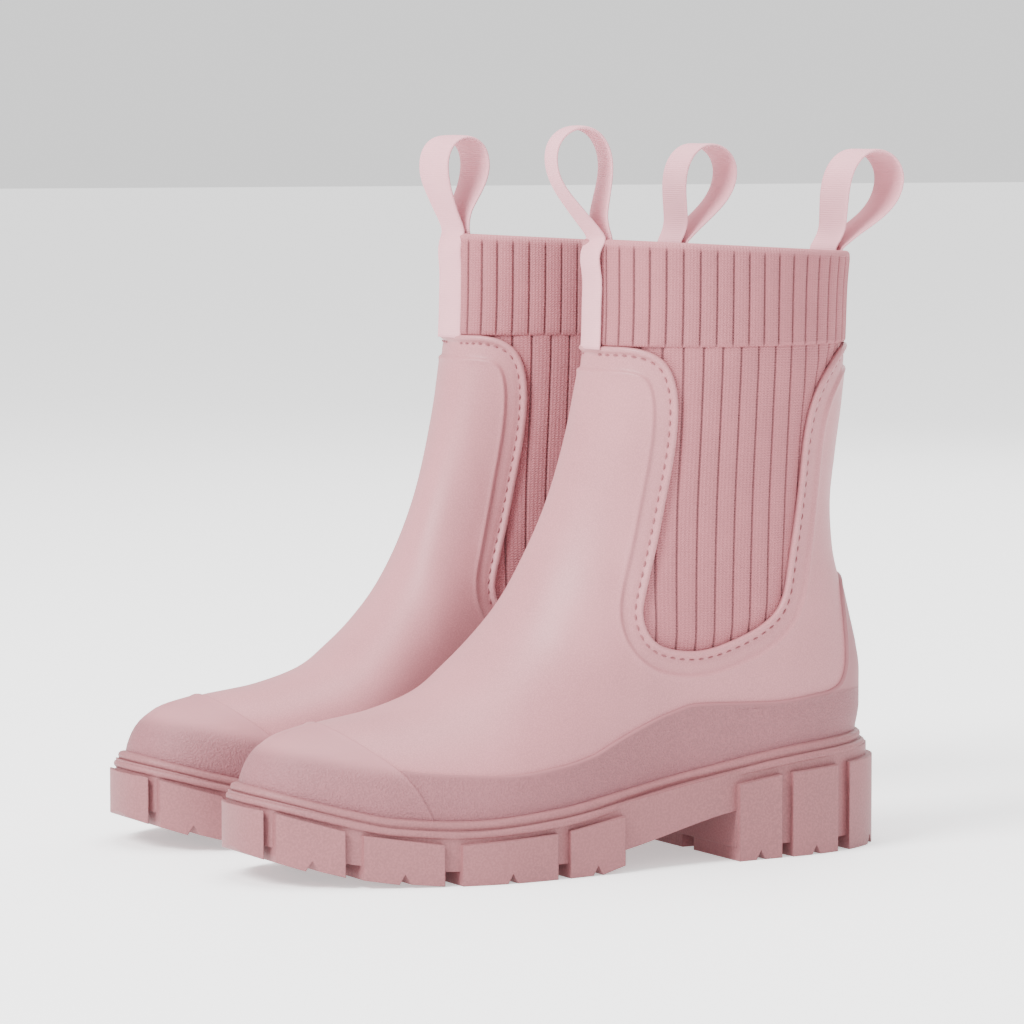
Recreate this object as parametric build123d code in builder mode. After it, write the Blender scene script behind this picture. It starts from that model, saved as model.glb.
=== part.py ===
from build123d import *
import os

import numpy as np
from scipy.interpolate import PchipInterpolator

# A pair of women's rain boots: moulded rubber Chelsea boots with a ribbed knit collar, knit side
# panels, webbing pull loops and a lug sole.
#
# Every piece is made in the frame of the left boot: X points to the boot's outer (lateral) side, the toe
# points to -Y, Z is up and the ground is Z = 0. The stations below give a distance along the boot as "u",
# which is 0 near the back of the heel and grows towards the toe. All sizes are in millimetres.

# ---------------------------------------------------------------- driving dimensions
BOOT_SPACING = 127.0      # between the centre lines of the two boots
ORIGIN_U = 133.1          # the station that lies at Y = 0, half way along the whole pair
LEG_CENTRE = 66.0         # station of the widest part of the leg and heel
TOE_END = 274.5           # foremost station of the upper
DOME_BASE = 34.0          # height up to which the foot's side walls are upright

SHELL = 2.4               # wall of the moulded upper
LINING = 1.0
GORE = 1.6
LAYER = 1.1               # mudguard and heel counter
TOE_LAYER = 2.0
GORE_CORNER = 22.0        # radius of a gore's lower corners
LINING_GAP = 1.0          # between a gore's edge and the lining
LAYER_GAP = 0.3           # between the welt strip and the layers above it

SHELL_TOP = 208.0
COLLAR_FRONT = 251.0
COLLAR_BACK = 245.0
COLLAR_INSET = 0.8        # the collar's outside lies this far inside the line of the shell
COLLAR_WALL = 3.6

SOLE_WALL = 5.0           # how far the sole's side wall stands out from the upper
LUG_FACE = 7.5            # how far the lugs stand out from the upper
LUG_HEIGHT = 5.5          # tread depth
CUP_DEPTH = 15.0          # from the welt line down to the floor inside the boot
BOARD = 2.0
FOOTBED = 5.0
FOOTBED_GAP = 0.35        # between the board and the removable footbed

WEBBING_WIDTH = 20.0
WEBBING = 1.6
LOOP_ROOT = 3.0           # radius of the loop's root, where it leaves the rim
LOOP_BULB = 14.0          # radius of the loop's round end
LOOP_REACH = 28.0         # from the root to the middle of the round end
FRONT_LOOP_LEAN = 7.0     # degrees forwards
BACK_LOOP_LEAN = 25.0     # degrees backwards

STITCH_LENGTH = 3.0
STITCH_PITCH = 4.4
STITCH_RADIUS = 0.45
STITCH_INSET = 3.0        # from the window's edge
STITCH_GAP = 0.6          # between a stitch and the shell

WELT_STRIP_FACE = 5.8     # how far the welt's lower bead stands out from the upper
WELT_SETBACK = 2.4        # from the lower bead's face back to the upper bead's
WELT_STRIP_DROP = 2.0     # from the welt line down to the strip's underside
WELT_STEP = 2.2           # from the welt line up to the lower bead's top
WELT_STRIP_TOP = 5.6
HEEL_BREAST = 79.0        # station of the heel's front face
GROOVE = 9.0              # width of the groove along the tread
HEEL_CORE_FLOOR = 10.0    # height of the bottom of the pockets that lighten the heel
HEEL_CORE_MIDDLE = 40.0
HEEL_CORE_PITCH = 18.0
HEEL_CORE_SIZE = 14.0
FOOTBED_PLAY = 2.2        # between the footbed's edge and the lining
LOOP_LIFT = 3.5           # from the rim up to the middle of a loop's root

REACH = 120.0             # half width of the tools that cut right through a boot

# ---------------------------------------------------------------- design lines
# Each line is a smooth curve through (station or height, value) pairs.
def line(*pairs):
    return PchipInterpolator(*zip(*pairs))


# front and back of the upper by height, seen from the side
FRONT = line((-20, 266), (8, 270), (24, 273.5), (38, 274.5), (48, 270), (56, 261), (60, 244), (64, 216),
             (72, 191), (82, 178), (94, 166), (108, 155.5), (124, 147.5), (142, 140), (162, 133.5),
             (184, 128), (206, 124), (230, 121.5), (251, 119.5), (290, 117))
BACK = line((-20, 5), (8, 4), (38, 2.7), (56, 1.5), (72, 2), (82, 3.7), (94, 7), (108, 11), (124, 15.5),
            (142, 17), (162, 15), (184, 12), (206, 10), (230, 9), (251, 7), (290, 6))
# half width of the heel and leg by height
HALF_WIDTH = line((-20, 33), (56, 33.5), (94, 34.5), (142, 36), (184, 39), (206, 40.5), (290, 41))
# middle of the sole, and the ridge of the instep above it, by station: a left foot turns inwards
SOLE_MIDDLE = line((-20, 0), (150, 0), (190, -2), (230, -5), (270, -8.5), (290, -8.5))
RIDGE = line((-20, 0), (95, 0), (125, -4), (150, -10), (175, -12.5), (215, -11), (250, -9), (290, -8))
# heights by station: the welt's lower bead, and the tread (ground contact with heel and toe spring)
WELT = line((-20, 44), (8, 43.5), (47, 42), (95, 36), (129, 30.5), (164, 25.5), (200, 23), (230, 25),
            (248, 29), (264, 33.5), (278, 37.5), (290, 39.5))
TREAD = line((-20, 0), (78, 0), (120, 5), (134, 3), (150, 0), (205, 0), (230, 1.5), (245, 3.5), (262, 7),
             (275, 10.5), (290, 15))
# the underside between the lugs, clear of the heel
WAIST = line((70, 21.5), (79, 20.5), (134, 8.5), (150, 6), (205, 5.5), (245, 9), (275, 16), (290, 20.5))

# (rear, front) stations of the lugs
HEEL_LUGS = [(-12, 21.5), (28.5, 52.4), (57.8, 78.5)]
FOREFOOT_LUGS = [(134, 160), (166, 207), (214, 244), (250.5, 273), (276.5, 290)]
LUG_TOP_DROP = 7.0        # from the welt's bead down to the lugs' top edges
SIPE_WIDTH = 4.5
SIPE_HEIGHT = 4.0

# heights of the loft's sections: close together where the vamp flattens into the toe
LEVELS = [-6, 4, 14, 28, 38, 46, 52, 56, 60, 64, 69, 75, 83, 94, 110, 132, 160, 186, 207, 230, 256]
COLLAR_LEVELS = [200, 215, 230, 245, 262]
POINTS = 28               # points round one section

# side window: the edge of the shell, from its top front, round below, to its top back
WINDOW = [(124, 214), (114, 209.2), (106.5, 202), (102.6, 192), (102.2, 180), (106, 150), (111, 128),
          (116.5, 110), (118.3, 100), (114, 91), (104, 86.6), (92, 85.6), (77, 89), (64, 94.5),
          (55.5, 101.5), (51, 116), (45.5, 150), (42, 180), (35.5, 192.5), (26, 201), (14, 212)]
# a gore's outline under the shell, from its top back, round below, to its top front
GORE_OUTLINE = [(16, 214), (40, 76), (127, 76), (118, 214)]
# upper edge of the mudguard, from the back of the heel to the toe, and of the heel counter
MUDGUARD = [(-20, 66.5), (24, 66), (57, 63.5), (95, 64.6), (107, 62), (130, 53.2), (146, 46.6), (162, 43.4),
            (182, 41.4), (208, 42.6), (236, 46.2), (262, 51.5), (290, 55)]
COUNTER = [(26, 60), (19, 70), (17.8, 84), (18, 102), (16, 111), (8, 115), (-20, 116)]
TOE_CAP = [(290, 70), (251, 72), (241, 58), (226, 44.5), (212, 20), (290, 10)]


# ---------------------------------------------------------------- the boot's outer form
def smooth_step(value):
    value = np.clip(value, 0, 1)
    return value * value * (3 - 2 * value)


def front_line(offset):
    """The side view's front line moved outwards by offset, as matching heights and stations."""
    heights = np.linspace(-20, 290, 1241)
    slope = FRONT.derivative()(heights)
    length = np.hypot(1, slope)
    return heights - offset * slope / length, FRONT(heights) + offset / length


def contour(height, offset, points=POINTS):
    """Points round the boot's horizontal section, as stations and lateral distances."""
    angle = np.linspace(0, 2 * np.pi, points, endpoint=False)
    forwards, sideways = np.cos(angle), np.sin(angle)
    in_front = forwards >= 0
    heights, fronts = front_line(offset)
    front = np.interp(height, heights, fronts)
    back = BACK(height) - offset
    half_width = HALF_WIDTH(height) + offset
    # the leg is a superellipse that gets squarer towards the sole
    front_power = 3.0 - 0.9 * smooth_step((height - 40) / 80)
    power = np.where(in_front, front_power, 2.3)
    side_power = np.where(in_front, 2.0, 2.2)
    reach = np.abs(forwards) ** (2 / power)
    station = np.where(in_front, LEG_CENTRE + (front - LEG_CENTRE) * reach,
                       LEG_CENTRE - (LEG_CENTRE - back) * reach)
    leg = half_width * (1 - reach ** power) ** (1 / side_power)
    # the foot is a dome over the sole's outline, up to the instep's line
    end = front if height <= 38 else TOE_END + offset
    along = np.clip((station - LEG_CENTRE) / (end - LEG_CENTRE), 0, 1)
    ball = half_width + 14 * smooth_step((station - 100) / 95)
    outline = ball * (1 - along ** 3.2) ** (1 / 2.4)
    rising = slice(np.argmax(fronts), None)
    instep = np.interp(station, fronts[rising][::-1], heights[rising][::-1])
    instep = instep + 10 * np.clip(124 + offset - station, 0, None)
    level = np.clip((height - DOME_BASE) / (instep - DOME_BASE), 0, 1)
    foot = outline * np.sqrt(1 - level ** 2)
    leg_share = np.where(in_front, smooth_step((height - 75) / 75), 1)
    width = leg_share * leg + (1 - leg_share) * foot
    middle = SOLE_MIDDLE(station) + (RIDGE(station) - SOLE_MIDDLE(station)) * level
    return [(float(m + s * w), float(ORIGIN_U - u)) for m, s, w, u in
            zip(middle, np.where(np.abs(sideways) < 1e-9, 0, np.sign(sideways)), width, station)]


def ring(height, offset):
    """The boot's horizontal section as a closed spline; all sections share their parameters."""
    points = [Vector(x, y, 0) for x, y in contour(height, offset)]
    return Edge.make_spline(points, periodic=True, parameters=[n / POINTS for n in range(POINTS + 1)])


def volume(offset, levels=LEVELS):
    """The solid inside the boot's outer form moved outwards by offset."""
    with BuildPart() as form:
        for level in levels:
            with BuildSketch(Plane.XY.offset(level)):
                with BuildLine():
                    add(ring(level, offset))
                make_face()
        loft()
    return form.part


def plan_prism(offset, top=70.0):
    """An upright prism on the foot's outline, moved outwards by offset."""
    with BuildPart() as prism:
        with BuildSketch(Plane.XY.offset(-6)):
            with BuildLine():
                add(ring(DOME_BASE, offset))
            make_face()
        extrude(amount=top + 6)
    return prism.part


# ---------------------------------------------------------------- side views, used as cutting tools
def side(*pairs):
    """(station, height) pairs as points of a sketch on Plane.YZ."""
    return [(float(ORIGIN_U - u), float(z)) for u, z in pairs]


def band(lower, upper, first=-20.0, last=290.0, steps=12):
    """The area between two height lines of the side view."""
    stations = np.linspace(first, last, steps)
    with BuildSketch(Plane.YZ) as area:
        with BuildLine():
            below = Spline(*side(*[(u, lower(u)) for u in stations]))
            above = Spline(*side(*[(u, upper(u)) for u in stations]))
            Line(below @ 0, above @ 0)
            Line(below @ 1, above @ 1)
        make_face()
    return area.sketch


def raised(curve, amount):
    """A height line moved straight up by amount."""
    return lambda u: curve(u) + amount


def rim(u):
    """Height of the collar's rim, which slopes down towards the back."""
    back, front = BACK(COLLAR_BACK), FRONT(COLLAR_FRONT)
    return COLLAR_BACK + (COLLAR_FRONT - COLLAR_BACK) * (u - back) / (front - back)


def through(sketch, mode=Mode.SUBTRACT):
    """Cut the side view's area right through the boot, or keep only what is inside it."""
    extrude(Pos(-REACH, 0, 0) * sketch, amount=2 * REACH, mode=mode)


def shell_top(u):
    """Height of the shell's upper edge, which is level."""
    return SHELL_TOP


def gore_area(margin):
    """A gore's outline in the side view, widened by margin."""
    with BuildSketch(Plane.YZ) as area:
        with BuildLine():
            outline = FilletPolyline(*side(*GORE_OUTLINE), radius=GORE_CORNER)
            Line(outline @ 0, outline @ 1)
        make_face()
        if margin:
            offset(amount=margin, kind=Kind.ARC)
    return area.sketch


FLOOR = raised(WELT, -CUP_DEPTH)

with BuildSketch(Plane.YZ) as window:
    with BuildLine():
        edge = Spline(*side(*WINDOW))
        Line(edge @ 0, edge @ 1)
    make_face()

with BuildSketch(Plane.YZ) as toe_area:
    with BuildLine():
        seam = Spline(*side(*TOE_CAP[1:-1]))
        Polyline(seam @ 0, *side(TOE_CAP[0], TOE_CAP[-1]), seam @ 1)
    make_face()

with BuildSketch(Plane.YZ) as counter_area:
    with BuildLine():
        seam = Spline(*side(*COUNTER))
        Polyline(seam @ 1, *side((-20, COUNTER[0][1])), seam @ 0)
    make_face()

wall_area = band(FLOOR, shell_top)
foxing_area = band(raised(WELT, WELT_STRIP_TOP + LAYER_GAP), line(*MUDGUARD), steps=40)
above_welt = band(raised(WELT, WELT_STRIP_TOP + LAYER_GAP), shell_top)
collar_area = band(shell_top, rim, steps=2)

# ---------------------------------------------------------------- the boot's nested forms
outside = volume(0)
outside_layer = volume(LAYER)
inside_shell = volume(-SHELL)
inside_lining = volume(-SHELL - LINING)

# ---------------------------------------------------------------- sole
with BuildPart() as lugs:
    for rear, front in HEEL_LUGS + FOREFOOT_LUGS:
        middle = (rear + front) / 2
        with BuildSketch(Plane.YZ):
            with BuildLine():
                Polyline(*side((rear, TREAD(rear)), (middle - SIPE_WIDTH / 2, TREAD(middle)),
                               (middle, TREAD(middle) + SIPE_HEIGHT),
                               (middle + SIPE_WIDTH / 2, TREAD(middle)), (front, TREAD(front)),
                               (front, WELT(front) - LUG_TOP_DROP), (rear, WELT(rear) - LUG_TOP_DROP)),
                         close=True)
            make_face()
        extrude(amount=REACH, both=True)
    add(plan_prism(LUG_FACE), mode=Mode.INTERSECT)

with BuildPart() as cup:
    add(outside)
    through(wall_area, Mode.INTERSECT)

with BuildPart() as outsole:
    add(plan_prism(SOLE_WALL))
    with BuildSketch(Plane.YZ):
        with BuildLine():
            heel = Polyline(*side((-20, LUG_HEIGHT), (HEEL_BREAST, LUG_HEIGHT),
                                  (HEEL_BREAST, WAIST(HEEL_BREAST))))
            waist = Spline(*side(*[(u, WAIST(u)) for u in np.linspace(HEEL_BREAST, 290, 12)]))
            top = Spline(*side(*[(u, WELT(u) - WELT_STRIP_DROP) for u in np.linspace(-20, 290, 12)]))
            Line(heel @ 0, top @ 0)
            Line(waist @ 1, top @ 1)
        make_face()
    extrude(amount=REACH, both=True, mode=Mode.INTERSECT)
    # the lugs stand out from the wall and down from the sole, with a groove along their middle
    add(lugs.part)
    extrude(band(raised(TREAD, -2), raised(TREAD, LUG_HEIGHT), last=262.0), amount=GROOVE / 2, both=True,
            mode=Mode.SUBTRACT)
    # the cup that holds the upper, and the pockets that lighten the heel below it
    add(cup.part, mode=Mode.SUBTRACT)
    with BuildSketch(Plane.XY.offset(HEEL_CORE_FLOOR)):
        with Locations((0, ORIGIN_U - HEEL_CORE_MIDDLE)):
            with GridLocations(HEEL_CORE_PITCH, HEEL_CORE_PITCH, 3, 3):
                Rectangle(HEEL_CORE_SIZE, HEEL_CORE_SIZE)
    extrude(amount=30, mode=Mode.SUBTRACT)

with BuildPart() as upper_bead:
    add(plan_prism(WELT_STRIP_FACE - WELT_SETBACK))
    through(band(raised(WELT, WELT_STEP), raised(WELT, WELT_STRIP_TOP)), Mode.INTERSECT)

with BuildPart() as welt_strip:
    add(plan_prism(WELT_STRIP_FACE))
    through(band(raised(WELT, -WELT_STRIP_DROP), raised(WELT, WELT_STEP)), Mode.INTERSECT)
    add(upper_bead.part)
    add(outside, mode=Mode.SUBTRACT)

# ---------------------------------------------------------------- upper
with BuildPart() as upper_shell:
    add(outside)
    through(wall_area, Mode.INTERSECT)
    through(window.sketch)
    add(inside_shell, mode=Mode.SUBTRACT)

with BuildPart() as mudguard:
    add(outside_layer)
    through(foxing_area, Mode.INTERSECT)
    through(toe_area.sketch)
    add(outside, mode=Mode.SUBTRACT)

with BuildPart() as heel_counter:
    add(outside_layer)
    through(foxing_area)
    through(counter_area.sketch, Mode.INTERSECT)
    add(outside, mode=Mode.SUBTRACT)

with BuildPart() as toe_cap:
    add(volume(TOE_LAYER))
    through(above_welt, Mode.INTERSECT)
    through(toe_area.sketch, Mode.INTERSECT)
    add(outside, mode=Mode.SUBTRACT)

with BuildPart() as lining:
    add(inside_shell)
    through(wall_area, Mode.INTERSECT)
    through(gore_area(LINING_GAP))
    add(inside_lining, mode=Mode.SUBTRACT)


def gore(hand):
    """The knit panel that fills a window and reaches under its border, lateral (1) or medial (-1)."""
    with BuildPart() as panel:
        add(inside_shell)
        extrude(gore_area(0), amount=hand * REACH, mode=Mode.INTERSECT)
        through(wall_area, Mode.INTERSECT)
        add(inside_gore, mode=Mode.SUBTRACT)
    return panel


inside_gore = volume(-SHELL - GORE)
gore_lateral = gore(1)
gore_medial = gore(-1)

with BuildPart() as knit_collar:
    add(volume(-COLLAR_INSET, COLLAR_LEVELS))
    add(volume(-COLLAR_INSET - COLLAR_WALL, COLLAR_LEVELS), mode=Mode.SUBTRACT)
    through(collar_area, Mode.INTERSECT)

# ---------------------------------------------------------------- inside
with BuildPart() as insole_board:
    add(volume(-SHELL - LINING - 0.2))
    through(band(FLOOR, raised(FLOOR, BOARD)), Mode.INTERSECT)

with BuildPart() as footbed:
    add(volume(-SHELL - LINING - FOOTBED_PLAY))
    through(band(raised(FLOOR, BOARD + FOOTBED_GAP), raised(FLOOR, BOARD + FOOTBED_GAP + FOOTBED)),
            Mode.INTERSECT)

# ---------------------------------------------------------------- webbing
with BuildPart() as inner_tails:
    add(volume(-COLLAR_INSET - COLLAR_WALL, COLLAR_LEVELS))
    add(volume(-COLLAR_INSET - COLLAR_WALL - WEBBING, COLLAR_LEVELS), mode=Mode.SUBTRACT)

with BuildPart() as tails:
    add(volume(WEBBING - COLLAR_INSET, COLLAR_LEVELS))
    add(volume(-COLLAR_INSET, COLLAR_LEVELS), mode=Mode.SUBTRACT)
    add(inner_tails.part)
    through(collar_area, Mode.INTERSECT)
    with BuildSketch(Plane.XY.offset(SHELL_TOP)):
        with Locations((0, ORIGIN_U - LEG_CENTRE)):
            Rectangle(WEBBING_WIDTH, 2 * REACH)
    extrude(amount=60, mode=Mode.INTERSECT)

leg_plane = Plane.XZ.offset(LEG_CENTRE - ORIGIN_U)

with BuildPart() as webbing_tails_front:
    add(tails.part)
    split(bisect_by=leg_plane, keep=Keep.TOP)

with BuildPart() as webbing_tails_back:
    add(tails.part)
    split(bisect_by=leg_plane, keep=Keep.BOTTOM)


def pull_loop(station, height, lean):
    """A teardrop of webbing over its root on the rim, leaning forwards by lean degrees."""
    across = (0, np.cos(np.radians(lean)), np.sin(np.radians(lean)))
    with BuildPart() as loop:
        with BuildSketch(Plane((0, ORIGIN_U - station, height), x_dir=across, z_dir=(1, 0, 0))):
            with BuildLine():
                CenterArc((0, 0), LOOP_ROOT, 0, 360)
                CenterArc((0, LOOP_REACH), LOOP_BULB, 0, 360)
            make_hull()
            offset(amount=-WEBBING, mode=Mode.SUBTRACT)
            Circle(LOOP_ROOT)
        extrude(amount=WEBBING_WIDTH / 2, both=True)
    return loop


collar_middle = COLLAR_INSET + COLLAR_WALL / 2
pull_loop_front = pull_loop(FRONT(COLLAR_FRONT) - collar_middle, COLLAR_FRONT + LOOP_LIFT, FRONT_LOOP_LEAN)
pull_loop_back = pull_loop(BACK(COLLAR_BACK) + collar_middle, COLLAR_BACK + LOOP_LIFT, -BACK_LOOP_LEAN)


# ---------------------------------------------------------------- stitching round the windows
def skin_point(station, height, offset, hand):
    """The point of the boot's surface at a station and height, on the lateral (1) or medial (-1) hand."""
    ring = contour(height, offset, points=120)
    half = ring[1:60] if hand > 0 else ring[:60:-1]
    y = ORIGIN_U - station
    return Vector(float(np.interp(y, [p[1] for p in half], [p[0] for p in half])), y, height)


seam = Spline(*side(*WINDOW))
thread_offset = STITCH_RADIUS + STITCH_GAP
stitches = []
for number in range(int(seam.length / STITCH_PITCH)):
    ends = []
    for travel in (number * STITCH_PITCH, number * STITCH_PITCH + STITCH_LENGTH):
        point, heading = seam @ (travel / seam.length), seam % (travel / seam.length)
        ends.append((ORIGIN_U - point.X - heading.Y * STITCH_INSET, point.Y - heading.X * STITCH_INSET))
    if max(end[1] for end in ends) < SHELL_TOP - STITCH_INSET + 1:
        for hand in (1, -1):
            start, finish = [skin_point(u, z, thread_offset, hand) for u, z in ends]
            stitches.append(Plane(start, z_dir=finish - start).location)

with BuildPart() as window_stitching:
    with Locations(*stitches):
        Cylinder(STITCH_RADIUS, STITCH_LENGTH, align=(Align.CENTER, Align.CENTER, Align.MIN))

# ---------------------------------------------------------------- the pair
pieces = {
    "outsole": outsole, "welt_strip": welt_strip, "upper_shell": upper_shell, "mudguard": mudguard,
    "toe_cap": toe_cap, "heel_counter": heel_counter, "lining": lining, "insole_board": insole_board,
    "footbed": footbed, "knit_collar": knit_collar, "gore_lateral": gore_lateral,
    "gore_medial": gore_medial, "webbing_tails_front": webbing_tails_front,
    "webbing_tails_back": webbing_tails_back, "pull_loop_front": pull_loop_front,
    "pull_loop_back": pull_loop_back, "window_stitching": window_stitching,
}
os.makedirs("parts", exist_ok=True)
for name, piece in pieces.items():
    left = Pos(BOOT_SPACING / 2, 0, 0) * piece.part
    right = mirror(left, about=Plane.YZ)
    for hand, solid in (("left", left), ("right", right)):
        solid.label = f"{hand}_{name}"
        export_step(solid, f"parts/{hand}_{name}.step")
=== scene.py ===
import math
from collections import namedtuple

import bpy
import numpy as np
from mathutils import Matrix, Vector
from mathutils.geometry import delaunay_2d_cdt


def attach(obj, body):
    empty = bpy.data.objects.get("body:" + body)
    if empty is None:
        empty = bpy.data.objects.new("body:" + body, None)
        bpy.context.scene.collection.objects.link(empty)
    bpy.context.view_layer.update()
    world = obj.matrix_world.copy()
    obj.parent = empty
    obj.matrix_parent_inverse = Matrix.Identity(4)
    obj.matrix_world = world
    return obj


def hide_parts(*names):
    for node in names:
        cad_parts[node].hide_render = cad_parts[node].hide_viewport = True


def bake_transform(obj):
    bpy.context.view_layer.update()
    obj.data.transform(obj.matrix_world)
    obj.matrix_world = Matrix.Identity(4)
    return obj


# A pair of moulded rubber rain boots with a ribbed knit collar, knit side panels and webbing pull loops.
#
# Each boot is shaped in its own frame, in millimetres: x points to its outer side, a station runs from 0
# at the back of the heel towards the toe, and height is above the ground. "turn" is the angle round the
# leg: 0 at the front, pi at the back. place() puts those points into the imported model's frame.

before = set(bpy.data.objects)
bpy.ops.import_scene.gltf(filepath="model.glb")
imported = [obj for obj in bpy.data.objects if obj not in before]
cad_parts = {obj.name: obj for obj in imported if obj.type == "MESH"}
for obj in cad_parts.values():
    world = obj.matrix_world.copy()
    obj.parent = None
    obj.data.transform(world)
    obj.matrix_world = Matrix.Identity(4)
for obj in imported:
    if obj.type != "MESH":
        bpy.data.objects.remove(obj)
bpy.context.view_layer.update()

# ---------------------------------------------------------------- driving dimensions, in mm
HALF_SPACING = 63.5       # from the pair's middle to a boot's centre line
ORIGIN_STATION = 133.1    # the station that lies at Y = 0
LEG_CENTRE = 66.0
TOE_END = 274.5
DOME_BASE = 34.0

SHELL = 2.4
GORE = 1.6
LAYER = 1.1               # mudguard and heel counter
TOE_LAYER = 1.15
SHELL_TOP = 208.0
COLLAR_INSET = 0.8
COLLAR_WALL = 3.6
COLLAR_RIB = 7.0          # width of a rib
GORE_RIB = 8.0
TAPE_WIDTH = 20.0
TAPE = 1.6
COLLAR_BOW = 1.6          # how far the collar curves away across half a tape
STITCH = 2.9
STITCH_PITCH = 4.4
MM = 0.001


def curve(*pairs):
    """A smooth curve through (place, value) pairs that never overshoots them."""
    at, value = (np.array(column, float) for column in zip(*pairs))
    step = np.diff(at)
    rise = np.diff(value) / step
    slope = np.zeros(len(at))
    for k in range(1, len(at) - 1):
        if rise[k - 1] * rise[k] > 0:
            before, after = 2 * step[k] + step[k - 1], step[k] + 2 * step[k - 1]
            slope[k] = (before + after) / (before / rise[k - 1] + after / rise[k])
    for end, near, far in ((0, 0, 1), (-1, -1, -2)):
        if len(step) > 1:
            both = step[near] + step[far]
            tilt = ((step[near] + both) * rise[near] - step[near] * rise[far]) / both
            if tilt * rise[near] <= 0:
                tilt = 0
            elif rise[near] * rise[far] <= 0 and abs(tilt) > abs(3 * rise[near]):
                tilt = 3 * rise[near]
            slope[end] = tilt
        else:
            slope[end] = rise[0]

    def read(place):
        place = np.asarray(place, float)
        k = np.clip(np.searchsorted(at, place, side="right") - 1, 0, len(step) - 1)
        t = (place - at[k]) / step[k]
        return ((2 * t**3 - 3 * t**2 + 1) * value[k] + (t**3 - 2 * t**2 + t) * step[k] * slope[k]
                + (3 * t**2 - 2 * t**3) * value[k + 1] + (t**3 - t**2) * step[k] * slope[k + 1])

    return read


# ---------------------------------------------------------------- design lines, the same as the CAD part's
FRONT = curve((-20, 266), (8, 270), (24, 273.5), (38, 274.5), (48, 270), (56, 261), (60, 244), (64, 216),
              (72, 191), (82, 178), (94, 166), (108, 155.5), (124, 147.5), (142, 140), (162, 133.5),
              (184, 128), (206, 124.3), (230, 123.6), (251, 123.6), (290, 123.6))
BACK = curve((-20, 5), (8, 5), (36, 4.7), (46, 4.1), (58, 1.9), (72, 2), (82, 3.7), (94, 7), (108, 11),
             (124, 15.5), (142, 17), (162, 15), (184, 12), (206, 10), (230, 9), (251, 7), (290, 6))
HALF_WIDTH = curve((-20, 33), (56, 33.5), (94, 34.5), (142, 36), (184, 39), (206, 40.5), (290, 41))
SOLE_MIDDLE = curve((-20, 0), (150, 0), (190, -2), (230, -5), (270, -8.5), (290, -8.5))
RIDGE = curve((-20, 0), (95, 0), (125, -4), (150, -10), (175, -12.5), (215, -11), (250, -9), (290, -8))
WELT = curve((-20, 44), (8, 43.5), (47, 42), (95, 36), (129, 30.5), (164, 25.5), (200, 23), (230, 25),
             (248, 29), (264, 33.5), (278, 37.5), (290, 39.5))
# upper edge of the mudguard by station, and of the heel counter and toe cap in the side view
MUDGUARD = curve((-20, 66.5), (24, 66), (57, 63.5), (95, 64.6), (107, 62), (130, 53.2), (146, 46.6),
                 (162, 43.4), (182, 41.4), (208, 42.6), (236, 46.2), (262, 51.5), (290, 55))
COUNTER = [(34, 65.2), (27, 66.2), (21.5, 69), (18.4, 76), (17.8, 86), (18, 102), (16, 110.5), (11.5, 113.5)]
COUNTER_TOP = 114.3       # at the back middle
TOE_SEAM = [(241, 58), (234, 51.8), (226, 44.5), (219.5, 35), (214, 24)]
# edge of a side window and the shell's top, from the top front, round below, to the top back
WINDOW = [(119, 208), (113.5, 206.8), (107.5, 202.8), (103.4, 194), (102.2, 180), (106, 150), (111, 128),
          (116.5, 110), (118.3, 100), (114, 91), (104, 86.6), (92, 85.6), (77, 89), (64, 94.5),
          (55.5, 101.5), (51, 116), (45.5, 150), (42, 180), (36, 192.5), (28, 201), (20, 206.3), (14, 208)]


# ---------------------------------------------------------------- the boot's outer form
def smooth_step(value):
    value = np.clip(value, 0, 1)
    return value * value * (3 - 2 * value)


PROFILE_HEIGHTS = np.linspace(38, 290, 1009)
PROFILE_FRONTS = FRONT(PROFILE_HEIGHTS) - 0.1 * np.clip(PROFILE_HEIGHTS - 206, 0, None)


def front_power(height):
    return 3.0 - 0.9 * smooth_step((height - 40) / 80)


def surface(turn, height):
    """Points (x, y, z) of the boot's outer form at a turn and height, in the boot's frame."""
    turn, height = np.broadcast_arrays(np.asarray(turn, float), np.asarray(height, float))
    forwards, sideways = np.cos(turn), np.sin(turn)
    in_front = forwards >= 0
    front, back, half_width = FRONT(height), BACK(height), HALF_WIDTH(height)
    power = np.where(in_front, front_power(height), 2.3)
    side_power = np.where(in_front, 2.0, 2.2)
    reach = np.abs(forwards) ** (2 / power)
    station = np.where(in_front, LEG_CENTRE + (front - LEG_CENTRE) * reach,
                       LEG_CENTRE - (LEG_CENTRE - back) * reach)
    leg = half_width * np.clip(1 - reach ** power, 0, 1) ** (1 / side_power)
    end = np.where(height <= 38, front, TOE_END)
    along = np.clip((station - LEG_CENTRE) / (end - LEG_CENTRE), 0, 1)
    ball = half_width + 14 * smooth_step((station - 100) / 95)
    outline = ball * np.clip(1 - along ** 3.2, 0, 1) ** (1 / 2.4)
    instep = np.interp(station, PROFILE_FRONTS[::-1], PROFILE_HEIGHTS[::-1])
    instep = instep + 10 * np.clip(124 - station, 0, None)
    level = np.clip((height - DOME_BASE) / (instep - DOME_BASE), 0, 1)
    foot = outline * np.sqrt(1 - level ** 2)
    leg_share = np.where(in_front, smooth_step((height - 75) / 75), 1)
    width = leg_share * leg + (1 - leg_share) * foot
    middle = SOLE_MIDDLE(station) + (RIDGE(station) - SOLE_MIDDLE(station)) * level
    side = np.where(np.abs(sideways) < 1e-9, 0, np.sign(sideways))
    return np.stack([middle + side * width, ORIGIN_STATION - station, height + 0 * station], -1)


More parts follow.
